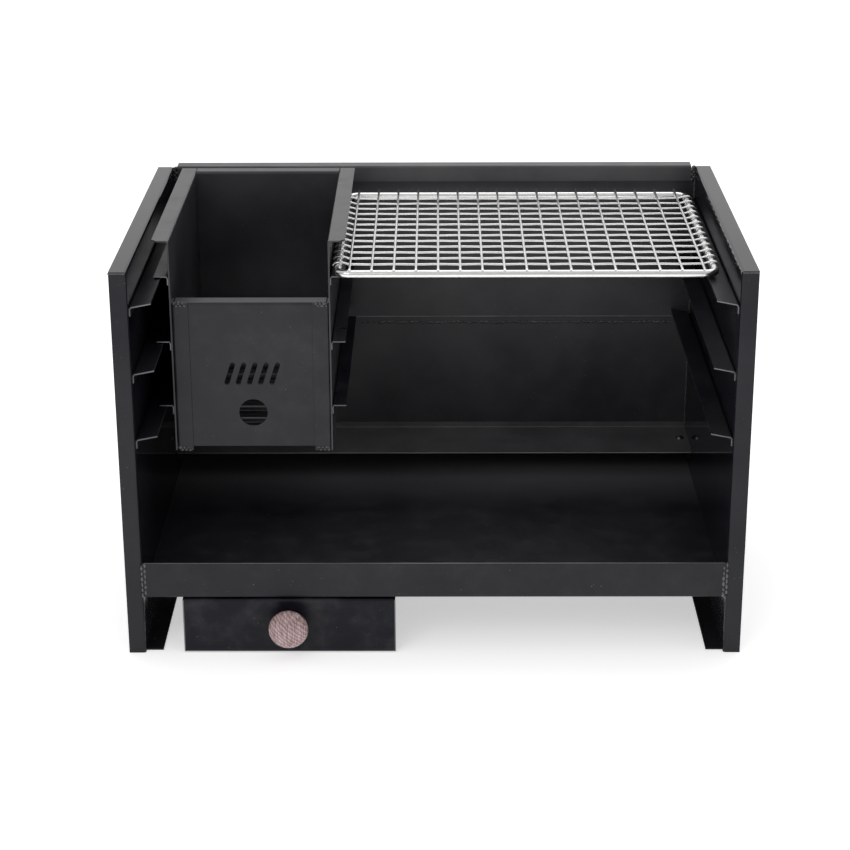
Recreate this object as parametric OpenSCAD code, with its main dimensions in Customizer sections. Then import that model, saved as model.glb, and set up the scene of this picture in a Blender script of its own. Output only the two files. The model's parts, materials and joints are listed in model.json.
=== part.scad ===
// Open-fronted sheet-steel hibachi grill. Two folded side panels carry three levels of
// ledges. A fire basket and a woven cooking grid hang side by side on those ledges and slide
// out to the front. A fixed tray closes the bottom, and a drawer runs under the tray.
// Millimetres, +Z up, front towards -Y, right hand towards +X, standing on Z = 0.

/* [Body] */
// Width over the outward folds of both side panels
body_w = 600; // [500:1:720]
// Depth of the side panels, front to back
body_d = 392; // [320:1:470]
// Height of the side panels
body_h = 390.5; // [380:0.5:440]
// Width of the outward folds, over the outside
fold_w = 16.5; // [12:0.5:22]
// Width of the inward foot along the bottom of each side panel
foot_w = 16.5; // [12:0.5:20]
// Notch left between the front fold and the foot
foot_notch = 6; // [3:1:12]

/* [Sheet] */
// Thickness of all the sheet steel
sheet = 1.5; // [1.2:0.1:2]
// Inside radius of every bend
bend_r = 1.2; // [0.8:0.1:1.6]

/* [Tray] */
// Height of the tray's underside above the ground
tray_z = 59.5; // [50:0.5:75]
// Height of the front lip, from the tray's underside
lip_h = 36.5; // [25:0.5:50]
// Height of the rear shelf's top face
shelf_z = 88; // [84:0.5:110]
// Depth of the rear shelf
shelf_d = 79; // [50:1:110]
// Height of the rear shelf's upstand
shelf_upstand = 6; // [4:0.5:12]

/* [Shelf fixings] */
// Distance of each bolt from the side panel
bolt_inset = 9; // [8:0.5:14]
// Distance of each bolt from the front edge of the shelf
bolt_back = 43; // [15:1:48]
// Thread diameter of the bolts
bolt_d = 5; // [4:0.5:6]
// Length of each bolt that stands out below its nut
bolt_tail = 2; // [1:0.5:5]
// Width of the bracket under each end of the shelf
bracket_w = 22; // [18:1:30]
// Leg width of that bracket
bracket_leg = 18; // [16:0.5:24]

/* [Back] */
// Height of the lower edge of the upper back panel
back_seam_z = 219.5; // [200:0.5:240]
// Overlap of the two back panels
back_lap = 16.5; // [10:0.5:25]
// Leg width of the angle along the top of the back
rail_leg = 17; // [12:0.5:22]
// Gap between each end of that angle and the side panel
rail_end_gap = 4.5; // [3:0.5:8]

/* [Ledges] */
// Height of the tip of the top side ledge
ledge_z = 359; // [345:0.5:365]
// Height from one ledge to the next
ledge_pitch = 66; // [55:0.5:70]
// Reach of a side ledge from the panel to its tip
ledge_reach = 20.5; // [18:0.5:26]
// Rise of a side ledge from the panel to its tip
ledge_rise = 4; // [2:0.5:6]
// Height of the leg that is welded to the panel
ledge_leg = 9; // [7:0.5:14]
// Distance of the ledge's front end from the front of the body
ledge_front = 5; // [3:0.5:10]
// Gap left where a sliding piece rests on a ledge or runner
rest_gap = 0.3; // [0.2:0.05:0.5]

/* [Firebox] */
// Width over the side walls of the fire basket
firebox_w = 155.5; // [130:0.5:190]
// Depth of the side walls of the fire basket
firebox_d = 280; // [230:1:300]
// Height of the fire basket
firebox_h = 215; // [205:0.5:230]
// Distance of the basket's front from the front of the body
firebox_front = 84; // [60:1:100]
// Gap between the left side panel and the basket's wall
firebox_gap = 28; // [26:0.5:32]
// Height of the basket's rim above its own top ledge
firebox_rim = 35.3; // [30:0.1:45]
// Reach of the ledges on the basket
firebox_ledge = 14; // [12:0.5:16]
// Drop of the charging mouth below the rim at the front
mouth_drop = 62.5; // [40:0.5:80]
// Leg width of the front corner posts
post_w = 16; // [12:0.5:20]
// Height of the front panel's lower edge above the basket's bottom
front_lift = 4; // [2:0.5:8]
// Distance of the back wall from the rear end of the side walls
back_wall_inset = 14.5; // [12:0.5:20]
// Clipped corner at the front of each rim flange
rim_clip = 5; // [3:0.5:8]

/* [Firebox openings] */
// Diameter of the round air vent
vent_d = 28; // [20:0.5:36]
// Height of the vent's centre above the basket's bottom
vent_z = 39.2; // [30:0.1:50]
// Height of the centre of the slanted slots above the basket's bottom
slot_z = 79.7; // [72:0.1:95]
// Number of slanted slots
slot_n = 5; // [3:1:7]
// Spacing of the slanted slots
slot_pitch = 11; // [9:0.5:14]
// Width of a slanted slot
slot_w = 5; // [3:0.5:6]
// Length of a slanted slot
slot_l = 23; // [16:0.5:28]
// Slant of the slots, in degrees
slot_slant = 18; // [0:1:30]

/* [Ember grate] */
// Diameter of the grate bars
bar_d = 8; // [6:0.5:10]
// Spacing of the grate bars
bar_pitch = 34; // [28:0.5:40]
// Number of grate bars
bar_n = 7; // [5:1:8]
// Distance of the first bar from the front of the basket
bar_front = 34.5; // [26:0.5:45]
// Height of the bars' axis above the basket's bottom
bar_z = 5; // [4.5:0.5:12]

/* [Cooking grid] */
// Diameter of the grid's frame rod
rod_d = 8; // [6:0.5:10]
// Diameter of the mesh wire
wire_d = 2.8; // [2:0.1:4]
// Number of wires that run front to back
long_n = 17; // [10:1:20]
// Number of wires that run side to side
cross_n = 13; // [9:1:16]
// Distance from the front of the body to the axis of the grid's front rod
grid_front = 75.5; // [60:0.5:90]
// Gap between the grid and the back panel
grid_back_gap = 21.5; // [4:0.5:40]
// Gap between the grid and the fire basket
grid_left_gap = 4; // [3:0.5:6]
// Gap between the grid and the right side panel
grid_right_gap = 9.5; // [8:0.5:12]
// Distance from a side rod's axis to the nearest wire that runs front to back
long_margin = 11.4; // [9:0.1:15]
// Distance from an end rod's axis to the nearest wire that runs side to side
cross_margin = 23.2; // [9:0.1:30]
// Corner radius of the frame rod's axis
rod_corner_r = 11; // [8:0.5:20]
// Length of each wire's end beyond the outer side of the rod
wire_over = 0.5; // [0:0.1:2]

/* [Drawer] */
// Width of the drawer front
drawer_w = 207.5; // [160:0.5:250]
// Distance of the drawer front from the left side panel
drawer_left = 38; // [30:0.5:60]
// Depth of the drawer box
drawer_d = 300; // [200:1:305]
// Height of the drawer front's lower edge above the ground
drawer_z = 1.5; // [1:0.5:5]
// Gap between the drawer front and the tray
drawer_gap = 1.5; // [1:0.1:3]
// Depth of the hem folded back along the drawer front's top
drawer_hem = 8; // [6:0.5:12]
// Distance of the box's lower face above the drawer front's lower edge
box_lift = 1.5; // [1:0.5:5]
// Width of the box's sliding flanges
box_flange = 8; // [6:0.5:12]
// Distance of the flange tips inside the drawer front's ends
box_inset = 5; // [4:0.5:8]
// Sideways clearance of the flanges and of the box in the runners
side_play = 0.8; // [0.5:0.1:1.5]
// Width of the runners' weld flanges
runner_flange = 10; // [8:0.5:16]
// Gap between the drawer front's hem and the front ends of the runners
runner_setback = 2; // [1:0.5:6]

/* [Knob] */
// Largest diameter of the wooden knob
knob_d = 38.5; // [30:0.5:45]
// Length of the knob
knob_l = 28; // [22:0.5:34]
// Diameter of the knob's foot
knob_foot_d = 21; // [16:0.5:26]
// Thickness of the knob's foot
knob_foot_h = 3; // [2:0.5:5]
// Diameter of the knob's neck
knob_neck_d = 16; // [13:0.5:20]
// Height of the cove between the foot and the neck
knob_cove_h = 3.5; // [2:0.5:6]
// Height of the knob's domed crown
knob_crown_h = 11; // [6:0.5:12]
// Height of the knob's axis above the drawer front's lower edge
knob_z = 32; // [24:0.5:36]
// Diameter of the knob's screw
screw_d = 4; // [3:0.5:5]
// Depth to which the screw enters the knob
screw_grip = 13; // [8:0.5:16]
// Thickness of the washer behind the drawer front
washer_t = 1; // [0.8:0.1:1.6]

/* [Hidden] */
$fn = 48;
bend_steps = 6;
arc_step = 15;
slack = 0.25;
cut = 1;
steel_black = [0.10, 0.10, 0.105];
steel_bright = [0.78, 0.78, 0.76];
zinc = [0.62, 0.62, 0.64];
wood_dark = [0.30, 0.16, 0.13];

// Side panels
inner_x = body_w / 2 - fold_w;
bend_out = bend_r + sheet;

// Back: the upper panel laps in front of the lower one
lower_back_y = body_d - sheet;
upper_back_y = lower_back_y - sheet;
rail_front_y = upper_back_y - sheet;
rail_back_y = rail_front_y + rail_leg;
shelf_front_y = lower_back_y - shelf_d;

// Height of each ledge's tip, from the top level down
levels = [0, 1, 2];
function tip_z(level) = ledge_z - level * ledge_pitch;

// The basket's ledges rest on the left side ledges
firebox_ledge_z = ledge_z + rest_gap + sheet;
firebox_top = firebox_ledge_z + firebox_rim;
firebox_bottom = firebox_top - firebox_h;
firebox_left = -inner_x + firebox_gap;
firebox_right = firebox_left + firebox_w;
firebox_mid = (firebox_left + firebox_right) / 2;
firebox_rear = firebox_front + firebox_d;
firebox_in_w = firebox_w - 2 * sheet;
mouth_z = firebox_top - mouth_drop;
panel_y = firebox_front + sheet;
panel_inset = 2 * sheet + bend_r;

// The right side ledges stand higher by what the basket adds on the left: the grid is level
right_lift = rest_gap + sheet;

// Cooking grid, on the axis of its rod
grid_z = firebox_ledge_z + rest_gap + rod_d / 2;
grid_left = firebox_right + grid_left_gap + rod_d / 2;
grid_right = inner_x - grid_right_gap - rod_d / 2;
grid_rear = upper_back_y - grid_back_gap - rod_d / 2;
grid_w = grid_right - grid_left;
grid_l = grid_rear - grid_front;
mesh_z = grid_z + rod_d / 2;
wire_end = rod_d / 2 + wire_over;
long_pitch = (grid_w - 2 * long_margin) / (long_n - 1);
cross_pitch = (grid_l - 2 * cross_margin) / (cross_n - 1);

// Drawer, its box and its runners
drawer_x = -inner_x + drawer_left + drawer_w / 2;
drawer_top = tray_z - drawer_gap;
flange_tip = drawer_w / 2 - box_inset;
box_half = flange_tip - box_flange;
box_z = drawer_z + box_lift;
flange_z = drawer_top - 2 * sheet;
runner_x = flange_tip + side_play;
runner_z = flange_z - rest_gap;
runner_reach = box_flange - side_play;
runner_front = drawer_hem + runner_setback;
knob_axis_z = drawer_z + knob_z;
screw_hole_d = screw_d + 2 * slack;
washer_d = 2.5 * screw_d;
screw_head_d = 2 * screw_d;
screw_head_h = 0.65 * screw_d;

// Shelf fixings, with the usual proportions of round-head bolts and hexagon nuts
bolt_x = inner_x - bolt_inset;
bolt_y = shelf_front_y + bolt_back;
bolt_head_d = 1.9 * bolt_d;
bolt_head_h = 0.55 * bolt_d;
nut_af = 1.6 * bolt_d;
nut_h = 0.8 * bolt_d;
bolt_hole_d = bolt_d + 2 * slack;
bolt_l = 2 * sheet + nut_h + bolt_tail;

// The origin is under the middle of the whole grill, knob and rear angle included
origin_y = (rail_back_y - knob_l) / 2;

// ---- Folded sheet -------------------------------------------------------------------------

function unit(v) = v / norm(v);
function left_of(v) = [-v[1], v[0]];
function cross2(a, b) = a[0] * b[1] - a[1] * b[0];
function turned(v, a) = [v[0] * cos(a) - v[1] * sin(a), v[0] * sin(a) + v[1] * cos(a)];
function flip(v) = [for (i = [len(v) - 1 : -1 : 0]) v[i]];

// One bend at corner p, between directions d0 and d1. The sheet lies on the given side of the
// path, 1 for left and -1 for right; face 0 is the path's own face and face 1 the other one.
function bend(p, d0, d1, side, face) =
    let (
        s = sign(cross2(d0, d1)),
        angle = acos(d0 * d1),
        r = s * side > 0 ? bend_out : bend_r,
        arm = -s * left_of(d0) * r,
        middle = p - d0 * r * tan(angle / 2) - arm,
        reach = face == 0 ? 1 : (r - s * side * sheet) / r
    )
    [for (k = [0 : bend_steps]) middle + turned(arm, s * angle * k / bend_steps) * reach];

// One face of a strip that follows the path
function strip_face(path, side, face) =
    let (
        n = len(path),
        first = unit(path[1] - path[0]),
        last = unit(path[n - 1] - path[n - 2])
    )
    concat(
        [path[0] + face * side * sheet * left_of(first)],
        [for (i = [1 : 1 : n - 2])
            for (q = bend(path[i], unit(path[i] - path[i - 1]), unit(path[i + 1] - path[i]),
                          side, face)) q],
        [path[n - 1] + face * side * sheet * left_of(last)]
    );

// Outline of a folded strip
module strip(path, side) {
    polygon(concat(strip_face(path, side, 0), flip(strip_face(path, side, 1))));
}

// A profile drawn in the XZ plane, extruded along +Y from y0
module along_y(y0, length) {
    translate([0, y0 + length, 0])
        rotate([90, 0, 0])
            linear_extrude(height = length) children();
}

// A profile drawn in the YZ plane, extruded along +X from x0
module along_x(x0, length) {
    translate([x0, 0, 0])
        rotate([90, 0, 90])
            linear_extrude(height = length) children();
}

// Places the whole grill on its origin
module in_frame() {
    translate([0, -origin_y, 0]) children();
}

// A copy on the left of what is drawn on the right
module on_left() {
    mirror([1, 0, 0]) children();
}

// ---- Side panels --------------------------------------------------------------------------

// The right-hand panel: outward folds at the front, top and back, and an inward foot
module side_panel() {
    front_to_back = [[body_w / 2, 0], [inner_x, 0], [inner_x, body_d], [body_w / 2, body_d]];
    top_to_foot = [[body_w / 2, body_h], [inner_x, body_h], [inner_x, sheet]];
    color(steel_black) {
        intersection() {
            union() {
                linear_extrude(height = body_h) strip(front_to_back, -1);
                along_y(0, body_d) strip(top_to_foot, 1);
            }
            linear_extrude(height = body_h) polygon(strip_face(front_to_back, -1, 0));
            along_y(0, body_d)
                polygon(concat(strip_face(top_to_foot, 1, 0), [[inner_x, 0], [body_w / 2, 0]]));
        }
        along_y(foot_notch, body_d - foot_notch)
            translate([inner_x - foot_w, 0]) square([foot_w + sheet, sheet]);
    }
}

module left_side_panel() {
    on_left() side_panel();
}

module right_side_panel() {
    side_panel();
}

// ---- Back ---------------------------------------------------------------------------------

// Its top edge stops short of the round inside the rail's bend
module back_panel_upper() {
    color(steel_black)
        translate([-inner_x, upper_back_y, back_seam_z])
            cube([2 * inner_x, sheet, body_h - bend_r - back_seam_z]);
}

module back_panel_lower() {
    color(steel_black)
        translate([-inner_x, lower_back_y, tray_z])
            cube([2 * inner_x, sheet, back_seam_z + back_lap - tray_z]);
}

// The angle laid over the upper panel's top edge
module back_rail() {
    top = body_h + sheet;
    half = inner_x - rail_end_gap;
    color(steel_black)
        along_x(-half, 2 * half)
            strip([[rail_back_y, top], [rail_front_y, top], [rail_front_y, top - rail_leg]], 1);
}

// ---- Tray and rear shelf ------------------------------------------------------------------

// The floor and its front lip are one folded sheet
module fire_tray() {
    color(steel_black)
        along_x(-inner_x, 2 * inner_x)
            strip([[0, tray_z + lip_h], [0, tray_z], [lower_back_y, tray_z]], 1);
}

module rear_shelf() {
    color(steel_black)
        difference() {
            along_x(-inner_x, 2 * inner_x)
                strip([[shelf_front_y, shelf_z], [upper_back_y, shelf_z],
                       [upper_back_y, shelf_z + shelf_upstand]], -1);
            for (x = [-bolt_x, bolt_x])
                translate([x, bolt_y, shelf_z - sheet - cut])
                    cylinder(d = bolt_hole_d, h = sheet + 2 * cut);
        }
}

// The right-hand bracket: one leg on the panel, the other under the shelf
module shelf_bracket() {
    top = shelf_z - sheet;
    color(steel_black)
        difference() {
            along_y(bolt_y - bracket_w / 2, bracket_w)
                strip([[inner_x - bracket_leg, top], [inner_x, top],
                       [inner_x, top - bracket_leg]], -1);
            translate([bolt_x, bolt_y, top - sheet - cut])
                cylinder(d = bolt_hole_d, h = sheet + 2 * cut);
        }
}

module shelf_bracket_left() {
    on_left() shelf_bracket();
}

module shelf_bracket_right() {
    shelf_bracket();
}

// Two domed bolts, heads on the shelf
module shelf_bolts() {
    dome_r = (pow(bolt_head_d / 2, 2) + pow(bolt_head_h, 2)) / (2 * bolt_head_h);
    color(zinc)
        for (x = [-bolt_x, bolt_x])
            translate([x, bolt_y, shelf_z]) {
                translate([0, 0, -bolt_l]) cylinder(d = bolt_d, h = bolt_l);
                intersection() {
                    translate([0, 0, bolt_head_h - dome_r]) sphere(r = dome_r);
                    cylinder(d = bolt_head_d, h = bolt_head_h);
                }
            }
}

module shelf_nuts() {
    color(zinc)
        for (x = [-bolt_x, bolt_x])
            translate([x, bolt_y, shelf_z - 2 * sheet - nut_h])
                difference() {
                    cylinder(d = nut_af / cos(30), h = nut_h, $fn = 6);
                    translate([0, 0, -cut]) cylinder(d = bolt_d, h = nut_h + 2 * cut);
                }
}

// ---- Ledges -------------------------------------------------------------------------------

// A ledge on a wall whose face is at x = 0, reaching towards -X, with its tip at z = 0
module ledge(reach, rise, y0, length) {
    color(steel_black)
        along_y(y0, length)
            strip([[-reach, 0], [0, -rise], [0, -rise - ledge_leg]], -1);
}

module right_ledge(level) {
    translate([inner_x, 0, tip_z(level) + right_lift])
        ledge(ledge_reach, ledge_rise, ledge_front, upper_back_y - ledge_front);
}

module left_ledge(level) {
    on_left()
        translate([inner_x, 0, tip_z(level)])
            ledge(ledge_reach, ledge_rise, ledge_front, upper_back_y - ledge_front);
}

module left_ledge_top() { left_ledge(levels[0]); }
module left_ledge_middle() { left_ledge(levels[1]); }
module left_ledge_bottom() { left_ledge(levels[2]); }
module right_ledge_top() { right_ledge(levels[0]); }
module right_ledge_middle() { right_ledge(levels[1]); }
module right_ledge_bottom() { right_ledge(levels[2]); }

// ---- Fire basket --------------------------------------------------------------------------

// The right-hand wall, with its rim flange turned outwards
module firebox_wall() {
    rim = firebox_w / 2 - sheet + fold_w;
    inside = firebox_w / 2 - sheet;
    color(steel_black)
        difference() {
            along_y(firebox_front, firebox_d)
                strip([[rim, firebox_top], [inside, firebox_top], [inside, firebox_bottom]], 1);
            translate([rim, firebox_front, firebox_top - sheet - cut])
                rotate([0, 0, 45])
                    translate([-rim_clip, -rim_clip, 0] * sqrt(0.5))
                        cube([2 * rim_clip, 2 * rim_clip, 2 * (sheet + cut)] * sqrt(0.5));
        }
}

module firebox_left_wall() {
    translate([firebox_mid, 0, 0]) on_left() firebox_wall();
}

module firebox_right_wall() {
    translate([firebox_mid, 0, 0]) firebox_wall();
}

module firebox_back_wall() {
    face_y = firebox_rear - back_wall_inset;
    color(steel_black)
        along_x(firebox_left + sheet, firebox_in_w)
            strip([[firebox_rear, firebox_top], [face_y, firebox_top],
                   [face_y, firebox_bottom]], 1);
}

// The front panel lies behind the posts, between their side legs
module firebox_front_panel() {
    color(steel_black)
        difference() {
            along_x(firebox_left + panel_inset, firebox_w - 2 * panel_inset)
                strip([[panel_y + fold_w, mouth_z], [panel_y, mouth_z],
                       [panel_y, firebox_bottom + front_lift]], 1);
            translate([firebox_mid, panel_y - cut, firebox_bottom]) {
                translate([0, 0, vent_z]) through_panel() circle(d = vent_d);
                translate([0, 0, slot_z]) through_panel() slanted_slots();
            }
        }
}

module through_panel() {
    translate([0, sheet + 2 * cut, 0])
        rotate([90, 0, 0])
            linear_extrude(height = sheet + 2 * cut) children();
}

// A row of leaning slots with round ends
module slanted_slots() {
    straight = slot_l / cos(slot_slant) - slot_w;
    for (i = [0 : slot_n - 1])
        translate([(i - (slot_n - 1) / 2) * slot_pitch, 0])
            rotate(-slot_slant) {
                square([slot_w, straight], center = true);
                for (end = [-1, 1])
                    translate([0, end * straight / 2]) circle(d = slot_w);
            }
}

// The right-hand post, an angle inside the corner
module firebox_post() {
    inside = firebox_w / 2 - sheet;
    color(steel_black)
        translate([0, 0, firebox_bottom])
            linear_extrude(height = mouth_z - firebox_bottom)
                strip([[inside - post_w, firebox_front], [inside, firebox_front],
                       [inside, firebox_front + post_w]], 1);
}

module firebox_post_left() {
    translate([firebox_mid, 0, 0]) on_left() firebox_post();
}

module firebox_post_right() {
    translate([firebox_mid, 0, 0]) firebox_post();
}

module firebox_side_ledge(level) {
    translate([0, 0, firebox_ledge_z - level * ledge_pitch])
        mirror([1, 0, 0])
            translate([-firebox_w / 2, 0, 0])
                ledge(firebox_ledge, 0, firebox_front, firebox_d);
}

module firebox_ledge_left(level) {
    translate([firebox_mid, 0, 0]) on_left() firebox_side_ledge(level);
}

module firebox_ledge_right(level) {
    translate([firebox_mid, 0, 0]) firebox_side_ledge(level);
}

module firebox_ledge_left_top() { firebox_ledge_left(levels[0]); }
module firebox_ledge_left_middle() { firebox_ledge_left(levels[1]); }
module firebox_ledge_left_bottom() { firebox_ledge_left(levels[2]); }
module firebox_ledge_right_top() { firebox_ledge_right(levels[0]); }
module firebox_ledge_right_middle() { firebox_ledge_right(levels[1]); }
module firebox_ledge_right_bottom() { firebox_ledge_right(levels[2]); }

// Round bars across the bottom, welded to both side walls
module firebox_grate_bars() {
    color(steel_black)
        for (i = [0 : bar_n - 1])
            translate([firebox_left + sheet, firebox_front + bar_front + i * bar_pitch,
                       firebox_bottom + bar_z])
                rotate([0, 90, 0]) cylinder(d = bar_d, h = firebox_in_w);
}

// ---- Cooking grid -------------------------------------------------------------------------

// One straight side of the rod loop and the corner that follows it
module rod_side(length) {
    straight = length - 2 * rod_corner_r;
    translate([rod_corner_r, 0, 0])
        rotate([0, 90, 0]) cylinder(d = rod_d, h = straight);
    translate([rod_corner_r + straight, rod_corner_r, 0])
        rotate([0, 0, -90])
            rotate_extrude(angle = 90)
                translate([rod_corner_r, 0]) circle(d = rod_d);
}

module grid_frame() {
    color(steel_bright)
        translate([grid_left, grid_front, grid_z]) {
            rod_side(grid_w);
            translate([grid_w, 0, 0]) rotate([0, 0, 90]) rod_side(grid_l);
            translate([grid_w, grid_l, 0]) rotate([0, 0, 180]) rod_side(grid_w);
            translate([0, grid_l, 0]) rotate([0, 0, 270]) rod_side(grid_l);
        }
}

// Wires front to back, in the upper layer: they lie on the front and rear rods
module grid_wires_long() {
    color(steel_bright)
        for (i = [0 : long_n - 1])
            translate([grid_left + long_margin + i * long_pitch, grid_front - wire_end,
                       mesh_z + wire_d / 2])
                rotate([-90, 0, 0]) cylinder(d = wire_d, h = grid_l + 2 * wire_end);
}

// Wires side to side, in the lower layer: they are welded into the tops of the side rods
module grid_wires_cross() {
    color(steel_bright)
        for (i = [0 : cross_n - 1])
            translate([grid_left - wire_end, grid_front + cross_margin + i * cross_pitch,
                       mesh_z - wire_d / 2])
                rotate([0, 90, 0]) cylinder(d = wire_d, h = grid_w + 2 * wire_end);
}

// ---- Drawer -------------------------------------------------------------------------------

// A runner under the tray, on the drawer's right, with its weld flange outwards
module drawer_runner() {
    color(steel_black)
        along_y(runner_front, drawer_d + sheet - runner_front)
            strip([[runner_x + runner_flange, tray_z], [runner_x, tray_z],
                   [runner_x, runner_z], [runner_x - runner_reach, runner_z]], 1);
}

module drawer_runner_left() {
    translate([drawer_x, 0, 0]) on_left() drawer_runner();
}

module drawer_runner_right() {
    translate([drawer_x, 0, 0]) drawer_runner();
}

module screw_hole() {
    translate([0, -cut, knob_axis_z])
        rotate([-90, 0, 0]) cylinder(d = screw_hole_d, h = 2 * sheet + 2 * cut);
}

// Folded bottom, sides and sliding flanges, closed by a wall at each end
module drawer_box() {
    inside = box_half - sheet;
    wall_z = box_z + sheet;
    color(steel_black)
        translate([drawer_x, 0, 0])
            difference() {
                union() {
                    along_y(sheet, drawer_d)
                        strip([[-flange_tip, flange_z], [-box_half, flange_z],
                               [-box_half, box_z], [box_half, box_z],
                               [box_half, flange_z], [flange_tip, flange_z]], 1);
                    for (y = [sheet, drawer_d])
                        translate([-inside, y, wall_z])
                            cube([2 * inside, sheet, flange_z - wall_z]);
                }
                screw_hole();
                translate([-flange_tip - cut, 0, flange_z])
                    cube([2 * (flange_tip + cut), sheet + bend_r, sheet + cut]);
            }
}

module drawer_front() {
    color(steel_black)
        translate([drawer_x, 0, 0])
            difference() {
                along_x(-drawer_w / 2, drawer_w)
                    strip([[drawer_hem, drawer_top], [0, drawer_top], [0, drawer_z]], 1);
                screw_hole();
            }
}

// Half outline of the mushroom knob, foot at y = 0, head at y = knob_l
function knob_outline() =
    let (
        head_r = knob_d / 2,
        neck_r = knob_neck_d / 2,
        foot_r = knob_foot_d / 2,
        neck_y = knob_foot_h + knob_cove_h,
        rim_y = knob_l - knob_crown_h
    )
    concat(
        [[0, 0], [foot_r, 0]],
        [for (a = [0 : arc_step : 90])
            [neck_r + (foot_r - neck_r) * (1 - sin(a)), knob_foot_h + knob_cove_h * (1 - cos(a))]],
        [for (a = [arc_step : arc_step : 90])
            [neck_r + (head_r - neck_r) * sin(a), neck_y + (rim_y - neck_y) * (1 - cos(a))]],
        [for (a = [arc_step : arc_step : 90])
            for (b = [a - arc_step / 2, a])
                [head_r * cos(b), rim_y + knob_crown_h * sin(b)]]
    );

module drawer_knob() {
    color(wood_dark)
        translate([drawer_x, 0, knob_axis_z])
            rotate([90, 0, 0])
                difference() {
                    rotate_extrude() polygon(knob_outline());
                    translate([0, 0, -cut]) cylinder(d = screw_d, h = screw_grip + cut);
                }
}

module knob_screw() {
    color(zinc)
        translate([drawer_x, 2 * sheet + washer_t, knob_axis_z]) {
            rotate([90, 0, 0]) cylinder(d = screw_d, h = 2 * sheet + washer_t + screw_grip);
            rotate([-90, 0, 0]) cylinder(d = screw_head_d, h = screw_head_h);
        }
}

module knob_washer() {
    color(zinc)
        translate([drawer_x, 2 * sheet, knob_axis_z])
            rotate([-90, 0, 0])
                difference() {
                    cylinder(d = washer_d, h = washer_t);
                    translate([0, 0, -cut]) cylinder(d = screw_hole_d, h = washer_t + 2 * cut);
                }
}

// ---- Nodes --------------------------------------------------------------------------------

in_frame() left_side_panel();
in_frame() right_side_panel();
in_frame() back_panel_upper();
in_frame() back_panel_lower();
in_frame() back_rail();
in_frame() fire_tray();
in_frame() rear_shelf();
in_frame() shelf_bracket_left();
in_frame() shelf_bracket_right();
in_frame() shelf_bolts();
in_frame() shelf_nuts();
in_frame() left_ledge_top();
in_frame() left_ledge_middle();
in_frame() left_ledge_bottom();
in_frame() right_ledge_top();
in_frame() right_ledge_middle();
in_frame() right_ledge_bottom();
in_frame() drawer_runner_left();
in_frame() drawer_runner_right();
in_frame() drawer_box();
in_frame() drawer_front();
in_frame() drawer_knob();
in_frame() knob_screw();
in_frame() knob_washer();
in_frame() firebox_left_wall();
in_frame() firebox_right_wall();
in_frame() firebox_back_wall();
in_frame() firebox_front_panel();
in_frame() firebox_post_left();
in_frame() firebox_post_right();
in_frame() firebox_ledge_left_top();
in_frame() firebox_ledge_left_middle();
in_frame() firebox_ledge_left_bottom();
in_frame() firebox_ledge_right_top();
in_frame() firebox_ledge_right_middle();
in_frame() firebox_ledge_right_bottom();
in_frame() firebox_grate_bars();
in_frame() grid_frame();
in_frame() grid_wires_long();
in_frame() grid_wires_cross();
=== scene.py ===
"""The looks of an open-fronted hibachi grill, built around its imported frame."""

import json
import logging
import math
import random
from dataclasses import dataclass, field
from enum import Enum
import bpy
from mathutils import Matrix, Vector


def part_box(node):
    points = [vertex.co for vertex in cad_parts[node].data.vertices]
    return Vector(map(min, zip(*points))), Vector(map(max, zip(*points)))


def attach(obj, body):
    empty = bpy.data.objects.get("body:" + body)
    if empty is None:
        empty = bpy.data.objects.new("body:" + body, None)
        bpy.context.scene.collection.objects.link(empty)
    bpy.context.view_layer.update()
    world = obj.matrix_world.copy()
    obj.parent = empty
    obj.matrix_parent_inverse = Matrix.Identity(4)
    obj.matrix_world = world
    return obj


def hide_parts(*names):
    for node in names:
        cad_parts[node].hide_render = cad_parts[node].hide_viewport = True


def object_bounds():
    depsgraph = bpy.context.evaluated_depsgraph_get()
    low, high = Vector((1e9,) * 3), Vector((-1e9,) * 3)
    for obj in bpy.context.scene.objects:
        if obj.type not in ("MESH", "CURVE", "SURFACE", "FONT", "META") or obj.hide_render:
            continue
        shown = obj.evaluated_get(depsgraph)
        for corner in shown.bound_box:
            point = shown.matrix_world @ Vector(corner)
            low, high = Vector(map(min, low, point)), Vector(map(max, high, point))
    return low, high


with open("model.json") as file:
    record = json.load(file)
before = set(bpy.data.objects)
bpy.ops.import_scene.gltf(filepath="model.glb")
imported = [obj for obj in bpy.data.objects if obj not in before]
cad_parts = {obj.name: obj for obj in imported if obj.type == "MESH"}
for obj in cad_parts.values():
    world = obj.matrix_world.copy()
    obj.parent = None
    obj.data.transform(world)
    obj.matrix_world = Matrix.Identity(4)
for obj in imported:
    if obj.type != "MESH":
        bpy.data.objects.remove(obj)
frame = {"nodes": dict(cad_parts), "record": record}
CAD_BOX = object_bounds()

from fnmatch import fnmatchcase

import bmesh
import bpy
from mathutils import Euler, Matrix, Vector

MM = 0.001
LOG = logging.getLogger("hibachi_grill")

UP = Vector((0, 0, 1))
RIGHT = Vector((1, 0, 0))
REARWARD = Vector((0, 1, 0))

SHEET = 1.5 * MM
LEDGE_LEG = 9 * MM
SIDES = (-1, 1)
HANDS = ((-1, "left"), (1, "right"))
LEVELS = ("top", "middle", "bottom")


class Slot(Enum):
    """The material slots of the record."""

    COAT = "black_coat"
    WIRE = "bright_wire"
    ZINC = "zinc_fastener"
    WOOD = "turned_wood"


class Body(Enum):
    """The bodies that pieces ride on."""

    GRILL = "grill_body"
    DRAWER = "ash_drawer"
    BASKET = "fire_basket"
    GRID = "cooking_grid"


# ---- Shader arithmetic ----------------------------------------------------------------------


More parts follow.
